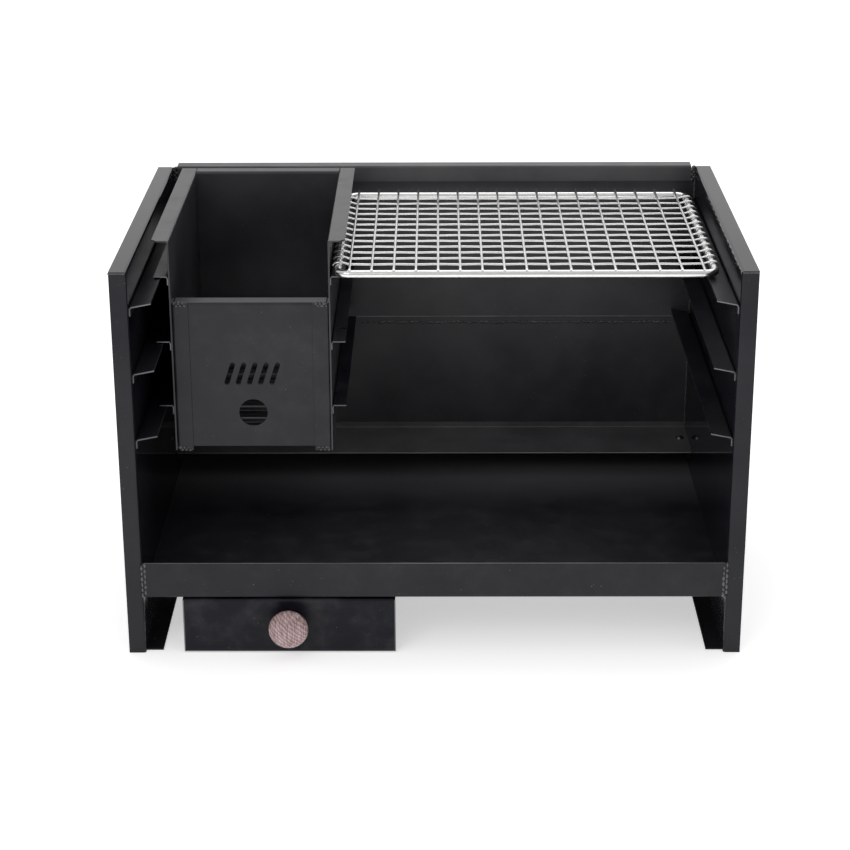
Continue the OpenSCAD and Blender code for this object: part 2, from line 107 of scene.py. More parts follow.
class Channel:
    """A shader socket that takes part in Python arithmetic."""

    def __init__(self, recipe: "NodeTree", socket: bpy.types.NodeSocket) -> None:
        """Keeps the socket and the recipe that it belongs to."""
        self.recipe = recipe
        self.socket = socket

    def maths(self, operation: str, first: object, second: object) -> "Channel":
        """Adds one Math node.

        Args:
            operation: The node's operation.
            first: A channel or a number.
            second: A channel or a number.

        Returns:
            The node's result.
        """
        return self.recipe.node("ShaderNodeMath", {"operation": operation}, {0: first, 1: second})

    def __add__(self, other: object) -> "Channel":
        """This channel plus another value."""
        return self.maths("ADD", self, other)

    def __radd__(self, other: object) -> "Channel":
        """Another value plus this channel."""
        return self.maths("ADD", other, self)

    def __sub__(self, other: object) -> "Channel":
        """This channel less another value."""
        return self.maths("SUBTRACT", self, other)

    def __rsub__(self, other: object) -> "Channel":
        """Another value less this channel."""
        return self.maths("SUBTRACT", other, self)

    def __mul__(self, other: object) -> "Channel":
        """This channel times another value."""
        return self.maths("MULTIPLY", self, other)

    def __rmul__(self, other: object) -> "Channel":
        """Another value times this channel."""
        return self.maths("MULTIPLY", other, self)

    def __gt__(self, other: object) -> "Channel":
        """1 where this channel is above another value, and 0 elsewhere."""
        return self.maths("GREATER_THAN", self, other)

    def __lt__(self, other: object) -> "Channel":
        """1 where this channel is below another value, and 0 elsewhere."""
        return self.maths("LESS_THAN", self, other)

    def ramp(self, low: float, high: float) -> "Channel":
        """A smooth step.

        Args:
            low: The value that gives 0.
            high: The value that gives 1.

        Returns:
            The step, from 0 to 1.
        """
        return self.recipe.node(
            "ShaderNodeMapRange",
            {"interpolation_type": "SMOOTHSTEP"},
            {"Value": self, "From Min": low, "From Max": high},
        )


class NodeTree:
    """A node tree under construction."""

    def __init__(self, tree: bpy.types.NodeTree) -> None:
        """Keeps the tree."""
        self.tree = tree

    def feed(self, socket: bpy.types.NodeSocket, value: object) -> None:
        """Links a channel to a socket, or sets the socket to a constant.

        Args:
            socket: The socket.
            value: A channel or a constant.
        """
        if isinstance(value, Channel):
            self.tree.links.new(value.socket, socket)
        else:
            socket.default_value = value

    def node(
        self,
        kind: str,
        settings: dict[str, object] | None = None,
        inputs: dict[int | str, object] | None = None,
        output: int | str = 0,
    ) -> Channel:
        """Adds a node.

        Args:
            kind: The node's type.
            settings: Its properties, which are set first. "stops" are a ramp's stops.
            inputs: The values or channels of its sockets.
            output: The socket to return.

        Returns:
            The chosen output.
        """
        made = self.tree.nodes.new(kind)
        for key, value in (settings or {}).items():
            if key == "stops":
                self.set_stops(made.color_ramp, value)
            else:
                setattr(made, key, value)
        for key, value in (inputs or {}).items():
            self.feed(made.inputs[key], value)
        return Channel(self, made.outputs[output])

    @staticmethod
    def set_stops(ramp: bpy.types.ColorRamp, stops: list[tuple]) -> None:
        """Gives a colour ramp its stops.

        Args:
            ramp: The ramp.
            stops: A position and a colour for each stop.
        """
        while len(ramp.elements) < len(stops):
            ramp.elements.new(1.0)
        for element, (position, colour) in zip(ramp.elements, stops):
            element.position = position
            element.color = (*colour, 1)


class Recipe(NodeTree):
    """A material under construction: its node tree and its Principled shader."""

    def __init__(self, name: str) -> None:
        """Starts an empty tree that ends in one Principled shader.

        Args:
            name: The material's name.
        """
        self.material = bpy.data.materials.new(name)
        self.material.use_nodes = True
        super().__init__(self.material.node_tree)
        self.tree.nodes.clear()
        self.shader = self.tree.nodes.new("ShaderNodeBsdfPrincipled")
        output = self.tree.nodes.new("ShaderNodeOutputMaterial")
        self.tree.links.new(self.shader.outputs[0], output.inputs[0])

    def place(
        self,
        scale: tuple[float, float, float] = (1, 1, 1),
        turn: tuple[float, float, float] = (0, 0, 0),
        shift: tuple[float, float, float] = (0, 0, 0),
    ) -> Channel:
        """Object coordinates, scaled, turned and shifted.

        Args:
            scale: The scale on each axis.
            turn: The turn about each axis, in radians.
            shift: The shift on each axis, in metres.

        Returns:
            The coordinates.
        """
        where = self.node("ShaderNodeTexCoord", output="Object")
        return self.node(
            "ShaderNodeMapping",
            inputs={"Vector": where, "Scale": scale, "Rotation": turn, "Location": shift},
        )

    def noise(self, where: Channel, scale: float, detail: float = 2, rough: float = 0.5) -> Channel:
        """Noise about 0.5.

        Args:
            where: The coordinates.
            scale: Features to a metre.
            detail: The number of finer layers.
            rough: The weight of the finer layers.

        Returns:
            The noise.
        """
        return self.node(
            "ShaderNodeTexNoise",
            inputs={"Vector": where, "Scale": scale, "Detail": detail, "Roughness": rough},
        )

    def mix(self, share: object, first: object, second: object) -> Channel:
        """Mixes two colours.

        Args:
            share: The share of the second colour.
            first: A colour or a channel.
            second: A colour or a channel.

        Returns:
            The mixed colour.
        """
        colours = [c if isinstance(c, Channel) else (*c, 1) for c in (first, second)]
        return self.node(
            "ShaderNodeMix",
            {"data_type": "RGBA"},
            {0: share, 6: colours[0], 7: colours[1]},
            output=2,
        )

    def bump(self, height: Channel, depth: float, strength: float = 1.0) -> Channel:
        """A bumped normal.

        Args:
            height: The height, from 0 to 1.
            depth: The depth that a height of 1 stands for, in metres.
            strength: How much of the bump is used.

        Returns:
            The normal.
        """
        return self.node(
            "ShaderNodeBump", inputs={"Height": height, "Distance": depth, "Strength": strength}
        )

    def finish(self, **sockets: object) -> bpy.types.Material:
        """Sets the shader's sockets and gives the material.

        Args:
            **sockets: Values by socket name, with underscores for spaces.

        Returns:
            The finished material.
        """
        for name, value in sockets.items():
            self.feed(self.shader.inputs[name.replace("_", " ")], value)
        return self.material


# ---- Finishes -------------------------------------------------------------------------------


@dataclass(frozen=True)
class BlackCoat:
    """Semi-gloss black powder coat on sheet steel, a little dusty and rubbed."""

    name: str
    tone: float = 0.0135
    gloss: float = 0.33
    ior: float = 1.43
    dust: float = 0.5
    smudge: float = 0.22
    peel_depth: float = 0.05 * MM
    ash_and_painted_light: float = 0.0
    cold: float = 0.0045
    shift: float = 0.0
    cloud_scale: float = 7
    peel_scale: float = 520
    film_scale: float = 34
    speck_scale: float = 210
    speck_r: float = 0.075
    rub_stretch: tuple[float, float, float] = (26, 90, 320)
    haze_tone: tuple[float, float, float] = (0.055, 0.056, 0.062)
    ash_and_painted_light_tone: tuple[float, float, float] = (0.12, 0.122, 0.13)
    dust_tone: tuple[float, float, float] = (0.32, 0.31, 0.29)

    def shade(self, factor: float) -> tuple[float, float, float]:
        """The coat's bluish black, lightened or darkened by a factor."""
        black = self.tone * factor
        return (black, black + self.cold * 0.1, black + self.cold)

    def material(self) -> bpy.types.Material:
        """Makes the material.

        Returns:
            The coat's material.
        """
        recipe = Recipe(self.name)
        where = recipe.place(shift=(self.shift, self.shift, self.shift))
        cloud = recipe.noise(where, self.cloud_scale, 4, 0.55)
        peel = recipe.noise(where, self.peel_scale, 2)
        stretched = recipe.place(self.rub_stretch, (0.3, 0.2, 0.1))
        rubs = recipe.noise(stretched, 1, 3).ramp(0.62, 0.8)
        film = recipe.noise(where, self.film_scale, 5, 0.6).ramp(0.42, 0.78)
        grains = recipe.node(
            "ShaderNodeTexVoronoi",
            inputs={"Vector": where, "Scale": self.speck_scale, "Randomness": 1},
        )
        drifts = recipe.noise(where, 55, 2).ramp(0.5, 0.66)
        specks = (grains < self.speck_r) * drifts * self.dust
        coat = recipe.mix(cloud.ramp(0.3, 0.7), self.shade(0.6), self.shade(1.45))
        hazy = recipe.mix(film * self.smudge, coat, self.haze_tone)
        # Ash and painted light: towards the rear the coat is mixed into a lighter tone, a film of
        # ash that also lifts the shade under the rear shelf.
        if self.ash_and_painted_light:
            rear = recipe.node("ShaderNodeSeparateXYZ", inputs={0: recipe.place()}, output="Y")
            hazy = recipe.mix(rear.ramp(0.02, 0.16) * self.ash_and_painted_light, hazy, self.ash_and_painted_light_tone)
        colour = recipe.mix(specks, hazy, self.dust_tone)
        roughness = self.gloss + (cloud - 0.5) * 0.10 + film * 0.08 - rubs * 0.07 + specks * 0.3
        return recipe.finish(
            Base_Color=colour,
            Roughness=roughness,
            Normal=recipe.bump(peel, self.peel_depth, 0.6),
            IOR=self.ior,
        )


@dataclass(frozen=True)
class BrightSteel:
    """Bright drawn stainless steel, with fine streaks along each wire."""

    name: str
    stretch: tuple[float, float, float]
    gloss: float = 0.2
    dark: tuple[float, float, float] = (0.78, 0.78, 0.775)
    light: tuple[float, float, float] = (0.86, 0.86, 0.855)
    dull: tuple[float, float, float] = (0.55, 0.54, 0.52)

    def material(self) -> bpy.types.Material:
        """Makes the material.

        Returns:
            The wire's material.
        """
        recipe = Recipe(self.name)
        where = recipe.place(self.stretch)
        streaks = recipe.noise(where, 1, 3, 0.6)
        haze = recipe.noise(recipe.place(), 60, 3)
        colour = recipe.mix(streaks.ramp(0.3, 0.7), self.dark, self.light)
        return recipe.finish(
            Base_Color=recipe.mix(haze.ramp(0.5, 0.8) * 0.2, colour, self.dull),
            Metallic=1.0,
            Roughness=self.gloss + (streaks - 0.5) * 0.08 + haze * 0.05,
            Normal=recipe.bump(streaks, 0.008 * MM, 0.4),
        )


@dataclass(frozen=True)
class BlackZinc:
    """Black zinc plating with faint blue and straw clouds."""

    name: str = "black_zinc_plate"
    blue: tuple[float, float, float] = (0.09, 0.095, 0.11)
    straw: tuple[float, float, float] = (0.17, 0.165, 0.15)

    def material(self) -> bpy.types.Material:
        """Makes the material.

        Returns:
            The plating's material.
        """
        recipe = Recipe(self.name)
        where = recipe.place()
        cloud = recipe.noise(where, 240, 3)
        grain = recipe.noise(where, 2200, 2)
        return recipe.finish(
            Base_Color=recipe.mix(cloud.ramp(0.35, 0.65), self.blue, self.straw),
            Metallic=1.0,
            Roughness=0.3 + cloud * 0.12,
            Normal=recipe.bump(grain, 0.02 * MM, 0.4),
        )


@dataclass(frozen=True)
class OiledWood:
    """Dark reddish hardwood with slanted grain, turned and oiled."""

    name: str = "oiled_wood"
    lean: tuple[float, float, float] = (0.15, math.radians(48), 0.1)
    rings: float = 95
    dark: tuple[float, float, float] = (0.11, 0.048, 0.05)
    middle: tuple[float, float, float] = (0.36, 0.23, 0.23)
    light: tuple[float, float, float] = (0.66, 0.55, 0.55)

    def material(self) -> bpy.types.Material:
        """Makes the material.

        Returns:
            The wood's material.
        """
        recipe = Recipe(self.name)
        along = recipe.place(turn=self.lean)
        bands = recipe.node(
            "ShaderNodeTexWave",
            {"bands_direction": "X", "wave_profile": "SAW"},
            {"Vector": along, "Scale": self.rings, "Distortion": 3, "Detail": 2,
             "Detail Scale": 1.4, "Detail Roughness": 0.6},
            output="Fac",
        )
        fibres = recipe.noise(recipe.place((1000, 300, 60), self.lean), 1, 4, 0.65)
        pores = recipe.noise(recipe.place((3600, 900, 420), self.lean), 1, 1)
        pits = pores.ramp(0.6, 0.72)
        grain = bands * 0.2 + fibres * 0.8
        ringed = recipe.node(
            "ShaderNodeValToRGB",
            {"stops": [(0.3, self.dark), (0.5, self.middle), (0.68, self.light)]},
            {"Fac": grain},
        )
        return recipe.finish(
            Base_Color=recipe.mix(pits * 0.7, ringed, self.dark),
            Roughness=0.42 + grain * 0.12 + pits * 0.1,
            Coat_Weight=0.12 - pits * 0.08,
            Coat_Roughness=0.25,
            Normal=recipe.bump(grain - pits * 0.5, 0.12 * MM, 0.7),
        )


@dataclass(frozen=True)
class StudioWhite:
    """A matt white sheet that glows a little, so that shadows stay soft."""

    name: str = "studio_white"
    glow: float = 0.52

    def material(self) -> bpy.types.Material:
        """Makes the material.

        Returns:
            The sheet's material.
        """
        recipe = Recipe(self.name)
        cloud = recipe.noise(recipe.place(), 0.8, 2)
        return recipe.finish(
            Base_Color=recipe.mix(cloud, (0.9, 0.9, 0.9), (0.93, 0.93, 0.93)),
            Roughness=0.9,
            Emission_Color=(1, 1, 1, 1),
            Emission_Strength=self.glow,
        )


class Finishes:
    """Every material of the grill, each made once; the part copies of the black coat are set
    lighter or darker as painted light and painted shade.
    """

    def __init__(self) -> None:
        """Makes the materials."""
        self.body = BlackCoat("body_coat", tone=0.015).material()
        # Painted light and shade: each part's copy of the black coat below is set lighter or darker
        # than the body's, standing for the light or shade that falls on that part.
        self.side = BlackCoat(
            "side_coat_painted_shade", tone=0.010, gloss=0.06, ior=1.33, smudge=0.08,
            peel_depth=0.002 * MM, shift=5.7,
        ).material()
        self.back = BlackCoat("back_coat_painted_light", tone=0.033, gloss=0.36, shift=8.9).material()
        self.rail = BlackCoat("rail_coat_painted_light", tone=0.06, gloss=0.33, ior=1.38, shift=9.7).material()
        self.tray = BlackCoat(
            "tray_coat_painted_light_and_shade", tone=0.0105, gloss=0.42, ior=1.35, dust=0.8, ash_and_painted_light=0.8, shift=0.7
        ).material()
        self.shelf = BlackCoat("shelf_coat_painted_light", tone=0.085, gloss=0.4, shift=6.1).material()
        self.basket = BlackCoat(
            "basket_coat_painted_shade", tone=0.0115, gloss=0.34, ior=1.4, smudge=0.34, shift=1.9
        ).material()
        self.basket_wall = BlackCoat(
            "basket_wall_coat_painted_light", tone=0.024, gloss=0.34, ior=1.53, shift=2.7
        ).material()
        self.basket_back = BlackCoat(
            "basket_back_coat_painted_light", tone=0.026, gloss=0.34, shift=2.3
        ).material()
        self.ledge = BlackCoat("ledge_coat_painted_shade", tone=0.009, gloss=0.3, ior=1.38, shift=10.3).material()
        self.basket_ledge = BlackCoat(
            "basket_ledge_coat_painted_shade", tone=0.004, gloss=0.3, ior=1.25, shift=11.1
        ).material()
        self.drawer = BlackCoat(
            "drawer_coat_painted_shade", tone=0.005, gloss=0.3, ior=1.27, smudge=0.45, shift=3.1
        ).material()
        # Painted highlight: the welds' coat is lighter than the body's so that the beads read
        # bright.
        self.weld = BlackCoat(
            "weld_coat_painted_highlight", tone=0.06, gloss=0.2, ior=1.6, dust=0.2, shift=4.3
        ).material()
        # Painted highlight: the edge bars' coat is far lighter than the body's.
        self.edge = BlackCoat(
            "edge_coat_painted_highlight", tone=0.17, gloss=0.28, dust=0.2, shift=7.3
        ).material()
        self.rod = BrightSteel("rod_steel", (160, 160, 900)).material()
        self.long_wire = BrightSteel("long_wire_steel", (1400, 60, 1400)).material()
        self.cross_wire = BrightSteel("cross_wire_steel", (60, 1400, 1400)).material()
        self.zinc = BlackZinc().material()
        self.wood = OiledWood().material()
        self.by_slot = {Slot.WIRE: self.rod, Slot.ZINC: self.zinc, Slot.WOOD: self.wood}
        self.by_name = (
            ("fire_tray", self.tray),
            ("rear_shelf", self.shelf),
            ("*side_panel", self.side),
            ("back_panel*", self.back),
            ("back_rail", self.rail),
            ("firebox_back_wall", self.basket_back),
            ("firebox*wall", self.basket_wall),
            ("firebox_ledge*", self.basket_ledge),
            ("*_ledge_*", self.ledge),
            ("firebox*", self.basket),
            ("drawer*", self.drawer),
            ("*", self.body),
        )

    def for_node(self, node: str, slot: str) -> bpy.types.Material:
        """The material of a CAD node.

        Args:
            node: The node's name.
            slot: Its slot in the record.

        Returns:
            The material.
        """
        kind = Slot(slot)
        if kind in self.by_slot:
            return self.by_slot[kind]
        return next(made for pattern, made in self.by_name if fnmatchcase(node, pattern))


# ---- Shapes ---------------------------------------------------------------------------------


class Shape:
    """A mesh under construction, in the grill's own frame."""

    def __init__(self) -> None:
        """Starts an empty mesh."""
        self.mesh = bmesh.new()

    def sweep(self, path: list[Vector], radius: float, sides: int, flat: Vector) -> list:
        """Draws a round bar along a path that lies in one plane.

        Args:
            path: The points of its axis.
            radius: Its radius.
            sides: The number of its sides.
            flat: The normal of the path's plane.

        Returns:
            The bar's geometry.
        """
        frames = [self.frame_on(path, i, flat) for i in range(len(path))]
        ring = bmesh.ops.create_circle(
            self.mesh, cap_ends=True, radius=radius, segments=sides, matrix=frames[0]
        )
        made = list(ring["verts"])
        end = made[0].link_faces[0]
        for before, after in zip(frames, frames[1:]):
            grown = bmesh.ops.extrude_face_region(self.mesh, geom=[end])["geom"]
            verts = [g for g in grown if isinstance(g, bmesh.types.BMVert)]
            end = next(g for g in grown if isinstance(g, bmesh.types.BMFace))
            bmesh.ops.transform(self.mesh, matrix=after @ before.inverted(), verts=verts)
            made += verts
        faces = list({f for v in made for f in v.link_faces})
        bmesh.ops.recalc_face_normals(self.mesh, faces=faces)
        return made + list({e for v in made for e in v.link_edges}) + faces

    @staticmethod
    def frame_on(path: list[Vector], index: int, flat: Vector) -> Matrix:
        """The frame of one section of a bar.

        Args:
            path: The points of the bar's axis.
            index: The point that the section stands at.
            flat: The normal of the path's plane.

        Returns:
            The frame, with its Z along the path and its X along flat.
        """
        ahead = path[min(index + 1, len(path) - 1)]
        behind = path[max(index - 1, 0)]
        along = (ahead - behind).normalized()
        turn = Matrix((flat, along.cross(flat), along)).transposed().to_4x4()
        return Matrix.Translation(path[index]) @ turn

    def copy(self, geometry: list, by: Vector) -> None:
        """Adds a moved copy of some geometry.

        Args:
            geometry: The vertices, edges and faces.
            by: The move.
        """
        made = bmesh.ops.duplicate(self.mesh, geom=geometry)["geom"]
        verts = [g for g in made if isinstance(g, bmesh.types.BMVert)]
        bmesh.ops.translate(self.mesh, vec=by, verts=verts)

    def lump(self, centre: Vector, axes: Matrix, half: tuple[float, float, float]) -> None:
        """Adds a rounded lump.

        Args:
            centre: Its middle.
            axes: Its own axes, as the columns of a 3 x 3 matrix.
            half: Its half sizes on those axes.
        """
        size = Matrix.Diagonal((*half, 1))
        place = Matrix.Translation(centre) @ axes.to_4x4() @ size
        bmesh.ops.create_icosphere(self.mesh, subdivisions=2, radius=1, matrix=place)

    def lathe(self, outline: list[Vector], centre: Vector, axis: Vector, steps: int) -> None:
        """Turns an outline about an axis.

        Args:
            outline: Points from the axis out and back to it.
            centre: A point on the axis.
            axis: The axis.
            steps: The number of sides.
        """
        verts = [bmesh.ops.create_vert(self.mesh, co=p)["vert"][0] for p in outline]
        edges = [self.mesh.edges.new(pair) for pair in zip(verts, verts[1:])]
        bmesh.ops.spin(
            self.mesh, geom=verts + edges, cent=centre, axis=axis,
            angle=2 * math.pi, steps=steps, use_merge=True,
        )
        bmesh.ops.remove_doubles(self.mesh, verts=self.mesh.verts, dist=0.001 * MM)
        bmesh.ops.recalc_face_normals(self.mesh, faces=self.mesh.faces)

    def finish(
        self,
        name: str,
        body: Body,
        slot: Slot,
        material: bpy.types.Material,
        replaced: tuple[str, ...] = (),
        crease: float = 45,
    ) -> bpy.types.Object:
        """Makes the object and sets it on its body.

        Args:
            name: The piece's name.
            body: The body that it rides on.
            slot: Its material slot; not used.
            material: Its finish.
            replaced: The CAD nodes that it stands for.
            crease: The angle above which an edge stays sharp, in degrees.

        Returns:
            The object.
        """
        data = bpy.data.meshes.new(name)
        self.mesh.to_mesh(data)
        self.mesh.free()
        data.materials.append(material)
        data.polygons.foreach_set("use_smooth", [True] * len(data.polygons))
        data.set_sharp_from_angle(angle=math.radians(crease))
        piece = bpy.data.objects.new(name, data)
        bpy.context.scene.collection.objects.link(piece)
        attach(piece, body.value)
        if replaced:
            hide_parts(*replaced)
        LOG.info("%s: %d faces on %s", name, len(data.polygons), body.value)
        return piece


@dataclass(frozen=True)
class Weld:
    """A bead of overlapping ripples."""

    width: float = 3.2 * MM
    height: float = 1.3 * MM
    step: float = 1.7 * MM
    sway: float = 0.0
    rough: float = 0.22
    overlap: float = 0.95

    def run(
        self, shape: Shape, start: Vector, end: Vector, out: Vector, draw: random.Random
    ) -> None:
        """Lays the bead along a line.

        Args:
            shape: The shape that gets it.
            start: Where it starts.
            end: Where it ends.
            out: The direction out of the joint.
            draw: The source of its unevenness.
        """
        along = (end - start).normalized()
        across = along.cross(out).normalized()
        axes = Matrix((across, along, out)).transposed()
        count = max(1, round((end - start).length / self.step))
        for i in range(count + 1):
            swing = self.sway * (1 if i % 2 else -1)
            jitter = [1 + self.rough * (draw.random() - 0.5) for _ in range(3)]
            place = start.lerp(end, i / count) + across * swing
            half = (self.width / 2, self.step * self.overlap, self.height)
            shape.lump(place, axes, tuple(h * j for h, j in zip(half, jitter)))

    def spot(self, shape: Shape, centre: Vector, out: Vector, draw: random.Random) -> None:
        """Presses one spot weld.

        Args:
            shape: The shape that gets it.
            centre: Its middle.
            out: The direction out of the sheet.
            draw: The source of its unevenness.
        """
        side = out.orthogonal().normalized()
        axes = Matrix((side, out.cross(side), out)).transposed()
        grow = 1 + self.rough * (draw.random() - 0.5)
        shape.lump(centre, axes, (self.width / 2 * grow, self.width / 2 * grow, self.height))


# ---- Sub-assemblies -------------------------------------------------------------------------


@dataclass
class CookingGrid:
    """The mesh of crimped wires that lies on the rod frame."""

    finishes: Finishes
    wire_r: float = 1.2 * MM
    sides: int = 10
    bends: int = 4
    wave: float = 0.14 * MM
    front_reach: float = 1.5 * MM
    rear_reach: float = 4.6 * MM
    curl: float = math.radians(66)
    curl_gap: float = 0.8 * MM
    curl_steps: int = 5
    rod: tuple[Vector, Vector] = field(default_factory=lambda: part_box("grid_frame"))

    @property
    def rod_r(self) -> float:
        """The rod's radius."""
        return (self.rod[1].z - self.rod[0].z) / 2

    def crossings(self, node: str, axis: int) -> list[float]:
        """Where a set of wires crosses the other axis.

        Args:
            node: The CAD node that holds the set.
            axis: The axis that the wires are spaced along.

        Returns:
            The wires' places along that axis.
        """
        places = sorted(v.co[axis] for v in frame["nodes"][node].data.vertices)
        starts = [places[0]]
        ends = []
        for low, high in zip(places, places[1:]):
            if high - low > 2 * self.wire_r:
                ends.append(low)
                starts.append(high)
        ends.append(places[-1])
        return [(low + high) / 2 for low, high in zip(starts, ends)]

    def curled_end(self, rod: float, side: int) -> list[tuple]:
        """The end of a wire that is closed round the outside of a rod.

        Args:
            rod: The rod's axis.
            side: 1 at the upper end of the wire, and -1 at the lower end.

        Returns:
            Points of place and height above the rod's top, from the rod's axis outwards.
        """
        reach = self.rod_r + self.wire_r + self.curl_gap
        turns = [self.curl * k / self.curl_steps for k in range(1, self.curl_steps + 1)]
        rise = self.rod_r + self.wire_r
        return [(rod + side * reach * math.sin(a), rise * math.cos(a) - self.rod_r) for a in turns]

    def profile(
        self, crossed: list[float], rods: tuple[float, float], level: int, first: int
    ) -> list[tuple]:
        """The line of one wire from rod to rod.

        Args:
            crossed: The places of the wires that it crosses.
            rods: The axes of the rods that it ends on.
            level: 1 for a wire that lies over the others, and -1 for one that lies under them.
            first: 1 if it rises at the first crossing, and -1 if it dips.

        Returns:
            Points of place and height above the rod's top.
        """
        knots = [(rods[0], self.wire_r)]
        for i, place in enumerate(crossed):
            knots.append((place, level * self.wire_r + first * (-1) ** i * self.wave))
        knots.append((rods[1], self.wire_r))
        line = [knots[0]]
        for (u0, h0), (u1, h1) in zip(knots, knots[1:]):
            for k in range(1, self.bends + 1):
                t = k / self.bends
                ease = (1 - math.cos(math.pi * t)) / 2
                line.append((u0 + (u1 - u0) * t, h0 + (h1 - h0) * ease))
        return line

    def lay(
        self,
        name: str,
        node: str,
        along: Vector,
        across: Vector,
        own: list[float],
        lines: list[list],
        material: bpy.types.Material,
    ) -> None:
        """Lays one set of wires.

        Args:
            name: The piece's name.
            node: The CAD node that it stands for.
            along: The direction of the wires.
            across: The direction that they are spaced along.
            own: Their places along that direction.
            lines: The two lines that they follow by turns.
            material: Their finish.
        """
        shape = Shape()
        templates = []
        for i, line in enumerate(lines):
            path = [along * u + across * own[i] + UP * (self.rod[1].z + h) for u, h in line]
            templates.append(shape.sweep(path, self.wire_r, self.sides, across))
        for i, place in enumerate(own[2:], start=2):
            shape.copy(templates[i % 2], across * (place - own[i % 2]))
        shape.finish(name, Body.GRID, Slot.WIRE, material, (node,), crease=60)

    def build(self) -> None:
        """Builds both sets of wires."""
        low, high = self.rod
        columns = self.crossings("grid_wires_long", 0)
        rows = self.crossings("grid_wires_cross", 1)
        ends = (low.y + self.rod_r, high.y - self.rod_r)
        front = (ends[0] - self.front_reach, self.wire_r - self.wave)
        rear = (ends[1] + self.rear_reach, self.wire_r + self.wave)
        lines = [[front, *self.profile(rows, ends, 1, first), rear] for first in (1, -1)]
        self.lay("mesh_wires_long", "grid_wires_long", REARWARD, RIGHT, columns, lines,
                 self.finishes.long_wire)
        ends = (low.x + self.rod_r, high.x - self.rod_r)
        left, right = self.curled_end(ends[0], -1)[::-1], self.curled_end(ends[1], 1)
        lines = [[*left, *self.profile(columns, ends, -1, first), *right] for first in (1, -1)]
        self.lay("mesh_wires_cross", "grid_wires_cross", RIGHT, REARWARD, rows, lines,
                 self.finishes.cross_wire)


@dataclass
class DrawerKnob:
    """The turned mushroom knob on the drawer's front."""

    finishes: Finishes
    foot_share: float = 0.545
    neck_share: float = 0.415
    foot_h: float = 3 * MM
    cove_h: float = 3.5 * MM
    crown_h: float = 11 * MM
    groove: float = 0.25 * MM
    steps: int = 72
    arc: int = 14

    def outline(self, radius: float, length: float) -> list[tuple[float, float]]:
        """Half the knob's outline.

        Args:
            radius: The largest radius.
            length: The knob's length.

        Returns:
            Points of radius and height above the foot.
        """
        foot, neck = radius * self.foot_share, radius * self.neck_share
        neck_y = self.foot_h + self.cove_h
        rim_y = length - self.crown_h
        turns = [math.pi / 2 * k / self.arc for k in range(self.arc + 1)]
        points = [(0.0, 0.0), (foot - self.groove, 0.0), (foot, self.groove)]
        points += [(neck + (foot - neck) * (1 - math.sin(a)),
                    self.foot_h + self.cove_h * (1 - math.cos(a))) for a in turns]
        points += [(neck + (radius - neck) * math.sin(a),
                    neck_y + (rim_y - neck_y) * (1 - math.cos(a))) for a in turns[1:]]
        points += [(radius * math.cos(a), rim_y + self.crown_h * math.sin(a)) for a in turns[1:-1]]
        return points + [(0.0, length)]

    def build(self) -> None:
        """Turns the knob."""
        low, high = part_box("drawer_knob")
        centre = (low + high) / 2
        foot = Vector((centre.x, high.y, centre.z))
        outline = self.outline((high.x - low.x) / 2, high.y - low.y)
        shape = Shape()
        points = [foot + RIGHT * r - REARWARD * h for r, h in outline]
        shape.lathe(points, foot, REARWARD, self.steps)
        shape.finish("turned_knob", Body.DRAWER, Slot.WOOD, self.finishes.wood, ("drawer_knob",))


@dataclass
class WeldSet:
    """The welds of one body, laid one after another into one piece."""

    finishes: Finishes
    seed: int = 0
    shape: Shape = field(init=False)
    draw: random.Random = field(init=False)

    def __post_init__(self) -> None:
        """Starts the piece and its own source of unevenness."""
        self.shape = Shape()
        self.draw = random.Random(self.seed)

    def bead(self, weld: Weld, start: Vector, end: Vector, out: Vector = -REARWARD) -> None:
        """Lays a bead, which faces the front unless told otherwise."""
        weld.run(self.shape, start, end, out, self.draw)

    def upright(self, weld: Weld, x: float, y: float, foot: float, head: float) -> None:
        """Lays an upright bead that faces the front."""
        self.bead(weld, Vector((x, y, foot)), Vector((x, y, head)))

    def spot(self, weld: Weld, centre: Vector, out: Vector) -> None:
        """Presses one spot weld."""
        weld.spot(self.shape, centre, out, self.draw)

    def finish(self, name: str, body: Body) -> None:
        """Makes the piece and sets it on its body."""
        self.shape.finish(name, body, Slot.COAT, self.finishes.weld)


